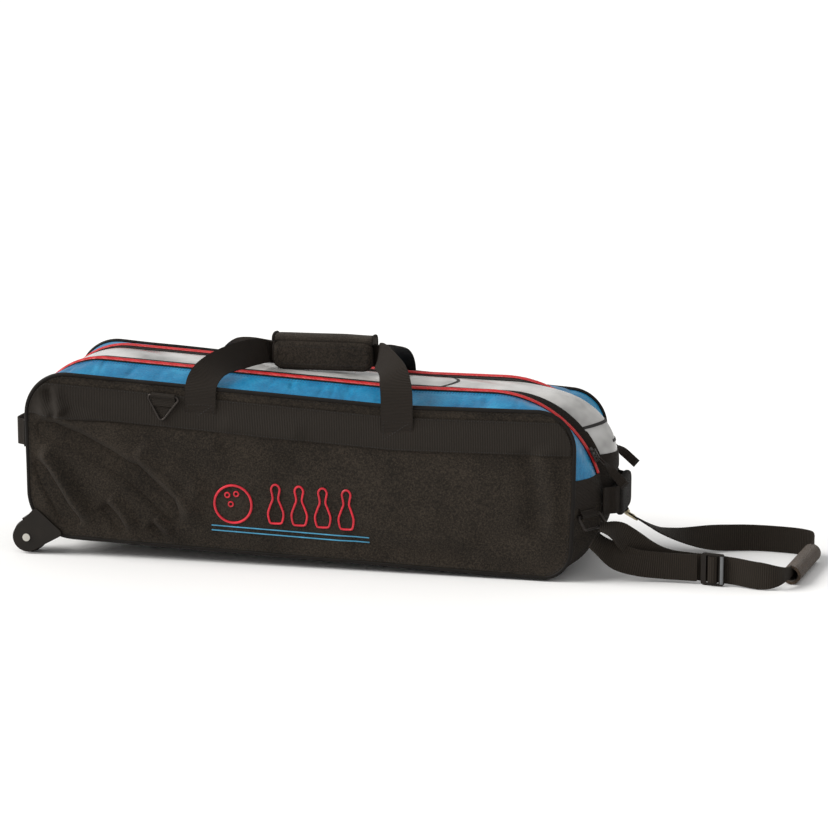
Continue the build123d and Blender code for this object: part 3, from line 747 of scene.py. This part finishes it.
# ------------------------------------------------------------------ window
g = skin(np.linspace(-WINDOW_Y - 0.6, WINDOW_Y + 0.6, 33), ZIP_START, falling(HEM_Z - 4), 420)
s = grid_lay(g)[..., 0]
t = g[..., 1] / WINDOW_Y
dip = 1.5 * noise1(s / 60, 31) + 0.9 * noise1(s / 24 + t * 2, 32)
g = raised(g, (dip * np.clip(1 - t ** 2, 0, 1))[..., None])
window = slab("window_sheet", g * MM, 0.7 * MM, CLEAR, body=None, node=("window_fixed", "window_flap"),
              slot="clear_vinyl")
across_hinge(window)

# Welded seams across the window: one near its hinge, one down on the curve of its end.
WELD = 1.6
MIDDLE = len(g) // 2
x, z = g[MIDDLE, :, 0], g[MIDDLE, :, 2]
half = max(1, int(round(WELD / (s[MIDDLE][1] - s[MIDDLE][0]) / 2)))
for k, miss in enumerate((np.where(z > 200, x, np.inf) - 200, np.where(x > 300, z, np.inf) - 205)):
    at = int(np.argmin(np.abs(miss)))
    slab(f"window_seam_{k + 1}", raised(g, 0.5)[:, at - half:at + half + 1] * MM, 0.5 * MM, THREAD,
         body="flap", slot="clear_vinyl")

# Hem across the end of the window.
g = skin(np.linspace(-55.0, 55.0, 30), falling(HEM_Z), falling(SEAM_Z + 0.5), 14)
slab("hem_webbing", raised(g, 1.9) * MM, 1.7 * MM, WEB, body="flap", node="flap_hem", slot="webbing")

# Webbing frame along the last part of the window's sides, and a slot above the hem.
for name, side in SIDES:
    g = skin(across(side, WINDOW_Y - 1.5, WINDOW_Y + 6.5, 6), falling(196), FLAP_END, 60)
    slab(f"{name}_frame_webbing", raised(g, 2.2) * MM, 1.2 * MM, WEB, body="flap", slot="webbing")
g = skin(np.linspace(-9.0, 15.0, 12), falling(181), falling(177), 5)
slab("window_slot_mark", raised(g, 1.9) * MM, 0.9 * MM, THREAD, body="flap", slot="clear_vinyl")


# -------------------------------------------------------------- end panels
def bulged(g, amount, seed):
    """End panel pushed in and out a little, but not along its edges."""
    t = g[..., 1] / EDGE_Y
    s = grid_lay(g)[..., 0]
    share = s / s.max()
    edge = np.clip(np.minimum(share, 1 - share) / 0.1, 0, 1) * np.clip((1 - np.abs(t)) / 0.08, 0, 1)
    wave = amount * noise1(s / 22 + t * 1.5, seed) + 0.6 * amount * noise1(t * 6 + s / 60, seed + 1)
    return raised(g, (wave * edge)[..., None])


LAP = 0.3  # how far the end panels and the bottom stop short of each other
ys = np.linspace(-EDGE_Y, EDGE_Y, 60)
for part, begin, finish, n, seed in (
    ("wheel_end", beneath(WHEEL_SEAM_X), rising(SEAM_Z - LAP), 90, 41),
    ("pull_end", falling(SEAM_Z - LAP), beneath(PULL_SEAM_X), 90, 43),
    ("bottom", beneath(PULL_SEAM_X - LAP), beneath(WHEEL_SEAM_X + LAP), 160, None),
):
    g = skin(ys, begin, finish, n)
    if seed:
        g = bulged(g, 1.6, seed)
    slab(f"{part}_fabric", g * MM, 2.0 * MM, FABRIC_END, node=f"{part}_panel", slot="black_fabric")

g = skin(np.linspace(-EDGE_Y + 0.5, EDGE_Y - 0.5, 60), falling(SEAM_Z + 0.6), falling(102), 20)
g = bulged(g, 0.8, 47) + grid_normals(g) * 2.0
slab("pull_end_webbing", g * MM, 1.6 * MM, WEB, node="pull_end_band", slot="webbing")


# ------------------------------------------------------------------ ribbons
def ribbon(name, path, half, thick, material, ribs=None, rows=9, **kw):
    """Flat strap along a path; half is its half width as a vector, or one for each point."""
    g = path + np.asarray(half, float) * np.linspace(-1, 1, rows)[:, None, None]
    depth = thick / 2
    if ribs:
        pitch, height = ribs
        depth = depth + height * np.sin(run_of(path) * 2 * math.pi / pitch)[:, None]
    return slab(name, raised(g, depth), thick, material, inner=raised(g, -depth), **kw)


def turning(spots, vectors, n):
    """Half-width vectors between a few given ones."""
    share = np.linspace(0, 1, n)
    size = np.interp(share, spots, np.linalg.norm(vectors, axis=1))
    return unit(read_at(share, spots, vectors)) * size[:, None]


# ------------------------------------------------------------ carry handles
GRIP_X = 7.0
# Stations of a handle: x, distance out from the middle, z, then its half width as a vector.
HANDLE_FOOT = (
    (-142, 122.9, 200, 22.5, 0, 0), (-142, 123.8, 232, 22.5, 0, 0), (-141, 123.0, 254, 22.5, 0, -1),
)
HANDLE_GRIP = tuple((x, 4.7, 285, 0, 0, -15) for x in (-64, 7, 78))
HANDLE_RUNS = {  # from the foot up to the grip, and from the grip down
    "front": ((
        (-136, 112, 270, 21, 4, -6), (-126, 94, 280, 18, 5, -11), (-107, 65, 287, 14, 5, -16),
        (-88, 34, 290, 8, 3, -18), (-76, 13, 288, 3, 1, -17),
    ), (
        (90, 16, 290, -3, 1, -17), (100, 50, 294, -9, 5, -18), (115, 82, 292, -15, 6, -14),
        (131, 109, 284, -20, 5, -8), (138, 122, 266, -22.5, 1, -2), (140, 124.4, 244, -22.5, 0, 0),
        (140, 122.9, 188, -22.5, 0, 0),
    )),
    "rear": ((
        (-152, 108, 264, 20, -5, -5), (-144, 72, 271, 19, -8, -7), (-123, 40, 281, 14, -7, -14),
        (-98, 20, 284, 5, -2, -17),
    ), (
        (88, 18, 283, -3, -1, -15), (90, 46, 279, -12, -5, -12), (91, 80, 273, -18, -6, -8),
        (90, 108, 262, -21, -4, -5), (90, 122.6, 247, -22.5, 0, -1), (90, 123.6, 226, -22.5, 0, 0),
        (90, 122.9, 188, -22.5, 0, 0),
    )),
}
LEG_BOX = np.array([(-19, 0), (19, 0), (19, 26), (-19, 26), (-19, 0), (19, 26)], float)
for name, side in SIDES:
    rise, fall = HANDLE_RUNS[name]
    stations = np.array([*HANDLE_FOOT, *rise, *HANDLE_GRIP, *fall], float)
    points = stations[:, :3] * (1, side, 1)
    path = smooth_path(points, 420)
    share = run_of(path) / run_of(path)[-1]
    marks = [share[np.argmin(np.linalg.norm(path - q, axis=1))] for q in points]
    half = turning(marks, stations[:, 3:], 420)
    handle = ribbon(f"{name}_handle_webbing", path * MM, half * MM, 1.7 * MM, WEB, rows=11, body=None,
                    node=(f"{name}_handle_legs", f"{name}_handle_grip"), slot="webbing")
    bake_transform(handle)
    # Stitched boxes that hold the legs to the panel.
    for k, foot in enumerate(((-142, 202), (stations[-1, 0], 190))):
        line = np.insert(resample(LEG_BOX + foot, step=2.0), 1, side * 124.5, axis=1)
        stitches(f"{name}_leg_stitch_{k + 1}", line * MM, (0, side, 0), radius=0.55 * MM, slot="webbing")


# ------------------------------------------------------------- padded wrap
def pad(name, centre, u, v, w, half_u, half_v, thick, corner, material, **kw):
    """Quilted pad: rounded outline in the u and v directions, puffed up along w."""
    c, u, v, w = (np.asarray(q, float) for q in (centre, u, v, w))
    steps, power = 44, 2.6
    aa, bb = np.meshgrid(np.linspace(-1, 1, steps),
                         np.linspace(-1, 1, max(12, int(steps * half_v / half_u))))
    x, z = aa * half_u, bb * half_v
    # Pull the corners of the grid in to the rounded outline.
    ex, ez = half_u - corner, half_v - corner
    dx, dz = np.maximum(np.abs(x) - ex, 0), np.maximum(np.abs(z) - ez, 0)
    scale = np.where((dx > 0) & (dz > 0), np.maximum(dx, dz) / np.maximum(np.hypot(dx, dz), 1e-9), 1)
    x = np.sign(x) * (np.minimum(np.abs(x), ex) + dx * scale)
    z = np.sign(z) * (np.minimum(np.abs(z), ez) + dz * scale)
    rim = np.clip(np.minimum(1 - np.abs(aa), (1 - np.abs(bb)) * half_v / half_u), 0, 1)
    depth = np.clip(rim * half_u / (thick * 1.1), 0, 1)
    bulge = (1 - (1 - depth) ** power) ** (1 / power)
    h = w * (thick / 2 * (0.32 + 0.68 * bulge))[..., None]
    base = c + x[..., None] * u + z[..., None] * v
    return slab(name, (base + h) * MM, 0, material, inner=(base - h) * MM, **kw)


def rounded(centre, u, v, half_u, half_v, corner, step=1.5):
    """Points round a rounded rectangle."""
    c, u, v = (np.asarray(q, float) for q in (centre, u, v))
    pts = []
    for k, (su, sv) in enumerate(((1, 1), (-1, 1), (-1, -1), (1, -1))):
        t = np.linspace(0, math.pi / 2, 8) + k * math.pi / 2
        pts.append(np.stack([su * (half_u - corner) + corner * np.cos(t),
                             sv * (half_v - corner) + corner * np.sin(t)], -1))
    flat = resample(closed_up(np.concatenate(pts)), step=step)[:-1]
    return c + flat[:, :1] * u + flat[:, 1:] * v


X_WAY, Z_WAY = (1, 0, 0), (0, 0, 1)
flap = pad("wrap_front_pad", (GRIP_X, -13.2, 286.0), X_WAY, Z_WAY, (0, -1, 0), 72.5, 20.6, 9.0, 14,
           FABRIC_TOP, body="wrap_flap", node="grip_wrap_flap", slot="black_fabric")
ring = rounded((GRIP_X, -13.4, 286.0), X_WAY, Z_WAY, 72.5, 20.6, 14)
tube("wrap_front_binding", ring * MM, 1.9 * MM, WEB, closed=True, body="wrap_flap", slot="webbing")
ring = rounded((GRIP_X, -18.0, 284.6), X_WAY, Z_WAY, 66.0, 12.6, 9)
stitches("wrap_front_stitch", closed_up(ring) * MM, (0, -1, 0), body="wrap_flap", slot="black_fabric")

# Body of the wrap: an upside-down U with rounded shoulders, as y and z.
WRAP_HALF = 73
shape = [(-15.2, 303.4), (-16.4, 307.0), (-13.5, 311.6), (-6, 313.6), (4, 313.4), (12.5, 311.6),
         (16.6, 306.5), (17.4, 296), (17.2, 280), (16.2, 270), (12.0, 267.6), (8.6, 270.5), (8.2, 284),
         (8.2, 299), (3, 302.6), (-4, 302.9), (-9.5, 302.9)]
loop = smooth_path(shape + shape[:1], 90)[:-1]
centre = loop.mean(axis=0)
rings = []
for x in GRIP_X + np.array([-WRAP_HALF, -72.6, -71.5, *np.linspace(-69.5, 69.5, 40), 71.5, 72.6, WRAP_HALF]):
    share = abs(x - GRIP_X) / WRAP_HALF
    shrink = 1 - 0.10 * max(0, (share - 0.94) / 0.06) ** 2
    q = centre + (loop - centre) * shrink
    sag = 0.7 * math.cos(share * 2.2) + 0.5 * float(noise1(np.array([x / 17]), 51)[0])
    q[:, 1] += sag * (q[:, 1] > 300)
    rings.append(np.insert(q, 0, x, axis=1))
wrap = piece("wrap_body_pad", np.concatenate(rings) * MM, barrel_faces(len(rings), len(loop)), FABRIC_TOP,
             body="grip", node="grip_wrap", slot="black_fabric", sharp=60)
for k, x in enumerate((GRIP_X - 72.4, GRIP_X + 72.4)):
    tube(f"wrap_end_binding_{k + 1}", np.insert(loop[:44], 0, x, axis=1) * MM, 1.7 * MM, WEB, body="grip",
         slot="webbing")


# ------------------------------------------------------------ end handles
def bowed(root, reach, half, z):
    """Route of an end handle, from one foot out to its hold and back to the other."""
    rise = root * 0.7 + reach * 0.3
    way = [(root, half), (root, half - 6), (rise, half - 13), (reach, half - 26)]
    points = [(x, -y, z) for x, y in way] + [(reach, 0, z)] + [(x, y, z) for x, y in reversed(way)]
    return smooth_path(points, 160)


ribbon("pull_end_handle_webbing", bowed(421.6, 439.0, 69, 104) * MM, UP * 19.0 * MM, 1.7 * MM, WEB,
       node="pull_end_handle", slot="webbing")
end_pad = pad("pull_end_handle_sleeve", (439, 0, 104), (0, 1, 0), Z_WAY, X_WAY, 43, 25.5, 12.5, 13, FLEECE,
              node="pull_end_handle_pad", slot="fleece")
ribbon("wheel_end_handle_webbing", bowed(-421.6, -440.0, 76, 165) * MM, UP * -19.0 * MM, 1.8 * MM, WEB,
       node="wheel_end_handle", slot="webbing")


# ------------------------------------------------- loops that hold the rings
def loop_ribbon(name, centre, along, out, back, radius, tail, material, node):
    """Webbing folded round a bar, with both ends sewn to the bag; back is the way to those ends."""
    along, out, back = (np.asarray(q, float) for q in (along, out, back))
    a = np.radians(np.linspace(180, -60, 34))[:, None]
    path = centre + np.vstack([
        back * tail - out * radius,
        out * radius * np.cos(a) - back * radius * np.sin(a),
        back * radius * 1.5 - out * radius * 0.2,
        back * tail * 0.55 - out * (radius - 1.9),
    ])
    half = along * 17 * MM
    ribbon(name, resample(path, 90) * MM, half, 1.6 * MM, material, node=node, slot="webbing")


tilt = math.atan2(237.6 - 241.0, 50.0)
loop_ribbon("triangle_loop_webbing", (-195, -126.4, 239.3), (math.cos(tilt), 0, math.sin(tilt)), (0, -1, 0),
            (math.sin(tilt), 0, -math.cos(tilt)), 2.6, 27, BAND_WEB, "triangle_ring_loop")

END_X, CORNER_X = 417.6, 384.0  # the pull end at its zips and at the panels
TAB_Y, TAB_Z = 88.0, 90.0
slope = math.atan2(END_X - CORNER_X, EDGE_Y - ZIP_Y)
TAB_WAYS = {}
for name, side in SIDES:
    TAB_WAYS[name] = along = np.array((-math.sin(slope), side * math.cos(slope), 0.0))
    out = np.array((math.cos(slope), side * math.sin(slope), 0.0))
    bar = np.array((END_X - (TAB_Y - ZIP_Y) * math.tan(slope), side * TAB_Y, TAB_Z)) + out * 4.2
    loop_ribbon(f"{name}_tab_webbing", bar, along, out, UP, 3.1, 14, WEB, f"{name}_strap_tab")

# -------------------------------------------------------------- zip pulls
ARC_X, ARC_Z, ARC_R = 258.0, 90.0, 160.0  # curve of the zips round the pull end
PARKED = math.radians(28)


def slant(angle):
    """Two directions square to each other: down a slope, and out from it."""
    sine, cosine = math.sin(angle), math.cos(angle)
    return np.array((sine, 0, -cosine)), np.array((cosine, 0, sine))


for (name, side), lean, length in zip(SIDES, (44, 50), (40, 34)):
    down, radial = slant(PARKED)
    bridge = np.array((ARC_X, 0, ARC_Z)) + radial * (ARC_R + 9.2) + down * 2
    bridge[1] = side * CHAIN_Y
    hang, out = slant(math.radians(lean))
    width = np.array((0.0, 1.0, 0.0))
    start, end = bridge + hang * 17.0, bridge + hang * (17.4 + length)
    path = resample([start, (start + end) / 2 + out * 0.5, end], 60)
    twist = np.clip(np.linspace(0, 2.2, 60), 0, 1)[:, None] * math.radians(72)
    half = (width * np.cos(twist) + out * np.sin(twist)) * 6.2
    fold = start + hang * 0.6 + width * np.array([[-5.4], [5.4]])
    tip = np.array([end - half[-1], end + half[-1]])
    body = f"{name}_pull"
    wire = rounded(bridge + hang * 9.6, hang, width, 10.0, 6.0, 4.5, step=1.0)
    tube(f"{body}_wire", wire * MM, 0.85 * MM, DARK_METAL, closed=True, sides=8, body=body,
         slot="dark_metal")
    ribbon(f"{body}_tab", path * MM, half * MM, 2.9 * MM, WEB, body=body, node=f"{name}_zip_pull",
           slot="webbing")
    tube(f"{body}_fold", fold * MM, 1.9 * MM, WEB, body=body, slot="webbing")
    tube(f"{body}_tip", tip * MM, 2.2 * MM, PLASTIC, body=body, slot="black_plastic")

# -------------------------------------------------------------- pull strap
STRAP_FRONT = (
    (421, -101, 76), (441, -97, 74), (463, -88, 54), (484, -81, 36), (512, -78, 24.5),
    (552, -81, 22.6), (604, -92, 22.6), (636, -101, 19.3), (662, -103, 19.3), (676, -88, 19.3),
    (681, -66, 19.3),
)
STRAP_RETURN = ((414, -109, 60), (434, -106, 42), (466, -96, 27), (512, -88, 22.6), (555, -88.5, 22.6))
STRAP_REAR = (
    (699.5, 72, 19.3), (701, 92, 19.3), (684, 108, 19.3), (655, 115, 19.3), (610, 118, 19.3),
    (566, 105, 19.3), (524, 89, 22.5), (488, 86, 29), (462, 94, 37), (441, 109, 43),
)
GRIP_LINE = ((684, -46, 16), (688.6, -12, 13.6), (693.4, 26, 13.6), (697.2, 54, 16))


def spline_path(points):
    """Points read from a smooth spline through a strap's route, in metres."""
    curve = bpy.data.curves.new("route", "CURVE")
    curve.dimensions = "3D"
    curve.resolution_u = 24
    spline = curve.splines.new("NURBS")
    spline.points.add(len(points) - 1)
    for control, p in zip(spline.points, points):
        control.co = (p[0] * MM, p[1] * MM, p[2] * MM, 1.0)
    spline.order_u = 3
    spline.use_endpoint_u = True
    ob = added("route", curve)
    bpy.context.view_layer.update()
    me = bpy.data.meshes.new_from_object(ob)
    line = np.array([v.co for v in me.vertices], float)
    bpy.data.objects.remove(ob)
    bpy.data.curves.remove(curve)
    bpy.data.meshes.remove(me)
    return resample(line, step=0.5 * MM)


def ease(v, a, b):
    """Smooth step from 0 to 1, as a column."""
    t = np.clip((v - a) / (b - a), 0, 1)
    return (t * t * (3 - 2 * t))[:, None]


def squared(aim, line):
    """Directions made square to a line."""
    tangent = unit(np.gradient(line, axis=0))
    return unit(aim - tangent * np.sum(aim * tangent, axis=1, keepdims=True))


def strap_ribbon(name, line, half, **kw):
    return ribbon(name, line, half, 2.0 * MM, STRAP_WEB, ribs=(3.0 * MM, 0.16 * MM), rows=11,
                  slot="webbing", **kw)


# The strap leaves its ring and reaches its hook flat, and stands on edge between them.
main = spline_path(STRAP_FRONT + GRIP_LINE + STRAP_REAR)
length = run_of(main)[-1]
share = run_of(main) / length
front_end = 302.0 * MM / length
rear_start = 1 - 294.0 * MM / length
at_ring, at_hook = -TAB_WAYS["front"], TAB_WAYS["rear"]
turn_in, turn_out = ease(share, 0.0, 0.13), ease(share, 0.72, 0.985)
aim = unit(at_ring * (1 - turn_in) + UP * turn_in)
aim = squared(unit(aim * (1 - turn_out) + at_hook * turn_out), main)
# It narrows to pass inside the grip.
into_grip = ease(share, front_end - 0.085, front_end - 0.005)
out_of_grip = ease(share, rear_start - 0.01, rear_start + 0.03)
half_width = 19.0 - 11.0 * into_grip * (1 - out_of_grip) - 1.5 * (1 - ease(share, 0.0, 0.05))
strap = strap_ribbon("pull_strap_webbing", main, aim * half_width * MM,
                     node=("pull_strap_front", "pull_strap_rear"))

back = spline_path(STRAP_RETURN)
turn_in = ease(run_of(back) / run_of(back)[-1], 0.0, 0.45)
aim = squared(unit(at_ring * (1 - turn_in) + UP * turn_in), back)
strap_ribbon("pull_strap_return_webbing", back, aim * 18.6 * MM, node="pull_strap_return")

# Webbing over the slider's middle bar, and a light grey glossy bar along its outer bar that is a painted
# highlight.
glide = np.array((578.0, -86.5, 22.8))
glide_run = unit(np.array((52.0, -11.0, 0.0)))
glide_out = np.array((glide_run[1], -glide_run[0], 0.0))
bend = np.radians(np.linspace(-65, 245, 40))[:, None]
hump = glide + glide_run * 6.2 * np.cos(bend) + glide_out * (5.6 + 4.4 * np.sin(bend))
ribbon("strap_slider_fold", hump * MM, UP * 18.2 * MM, 1.6 * MM, STRAP_WEB, slot="webbing")
edge = glide + glide_out * 7.7 + glide_run * 13.6 + UP * np.linspace(-19.5, 19.5, 20)[:, None]
tube("strap_slider_highlight", edge * MM, 2.3 * MM, SLIDER_HIGHLIGHT, squash=(1.0, 0.55), slot="black_plastic")

# ------------------------------------------------- finishes on CAD nodes
for material, nodes in (
    (BOARD, "base_board"),
    (FOAM, "wheel_end_ball_cup middle_ball_cup pull_end_ball_cup"),
    (PLASTIC, "front_wheel rear_wheel front_wheel_housing rear_wheel_housing"),
    (PLASTIC, "pull_strap_slider snap_hook_body"),
    (BRIGHT, "front_axle rear_axle"),
    (DARK_METAL, "triangle_ring front_zip_slider rear_zip_slider front_strap_ring rear_strap_ring"),
    (GRIP, "pull_strap_grip"),
    (BRASS, "snap_hook_gate snap_hook_eye"),
):
    for node in nodes.split():
        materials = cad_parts[node].data.materials
        materials.clear()
        materials.append(material)


# -------------------------------------------------------------- embroidery
def thread_line(name, points, width, material, closed=False):
    """Thick stitched line on the front panel, from points of x and z."""
    line = resample(points, step=1.2)
    if closed:
        line = line[:-1]
    tube(name, on_side(*line.T, -1, 0.4), width / 2 * MM, material, closed=closed, sides=8,
         slot="black_fabric")


def circle(x, z, r, n=60):
    t = np.linspace(0, 2 * math.pi, n)
    return np.stack([x + r * np.cos(t), z + r * np.sin(t)], -1)


def pin(x, foot, tall):
    """Outline of a bowling pin, from heights and half widths as shares of its height."""
    half = np.array([(0.0, 0.10), (0.04, 0.16), (0.25, 0.20), (0.45, 0.14), (0.62, 0.075), (0.74, 0.085),
                     (0.88, 0.11), (0.97, 0.07), (1.0, 0.0)]) * tall
    right = half[:, ::-1] + (x, foot)
    left = half[-2::-1, ::-1] * (-1, 1) + (x, foot)
    return smooth_path([*right, *left, right[0]], 120)


thread_line("motif_ball", circle(-96, 88, 27), 3.4, RED_THREAD, closed=True)
for k, (x, z) in enumerate(((-104, 101), (-91, 103), (-99, 88))):
    thread_line(f"motif_hole_{k + 1}", circle(x, z, 3.4, 24), 2.4, RED_THREAD, closed=True)
for k, x in enumerate((-34, 0, 34, 68)):
    thread_line(f"motif_pin_{k + 1}", pin(x, 62 - 0.03 * x, 56), 3.0, RED_THREAD, closed=True)
for k, z in enumerate((52, 45)):
    thread_line(f"motif_line_{k + 1}", [(-128, z + 4), (0, z), (100, z - 3)], 1.8, LINE_THREAD)

# ------------------------------------------------------------------- stage
FLOOR = 30
floor_mesh = bpy.data.meshes.new("floor")
floor_mesh.from_pydata([(x * FLOOR, y * FLOOR, 0) for x, y in ((-1, -1), (1, -1), (1, 1), (-1, 1))], [],
                       [(0, 1, 2, 3)])
ground = Paint("pale_floor", roughness=0.9, specular=0.1)
ground.shader.inputs["Base Color"].default_value = (0.93, 0.93, 0.93, 1)
floor_mesh.materials.append(ground.material)
floor = added("floor", floor_mesh)
floor.location.z = -0.0004

world = bpy.data.worlds.new("studio")
world.use_nodes = True
sky = world.node_tree.nodes["Background"].inputs
sky["Color"].default_value = (1.0, 0.995, 0.985, 1)
sky["Strength"].default_value = 0.58
SCENE.world = world
SCENE.view_settings.view_transform = "Standard"

sun_data = bpy.data.lights.new("sun", "SUN")
sun_data.energy = 3.3
sun_data.angle = math.radians(40)
sun_data.color = (1.0, 0.985, 0.96)
sun = added("sun", sun_data)
sun.rotation_euler = Vector((-1.35, -0.42, 1.1)).to_track_quat("Z", "Y").to_euler()
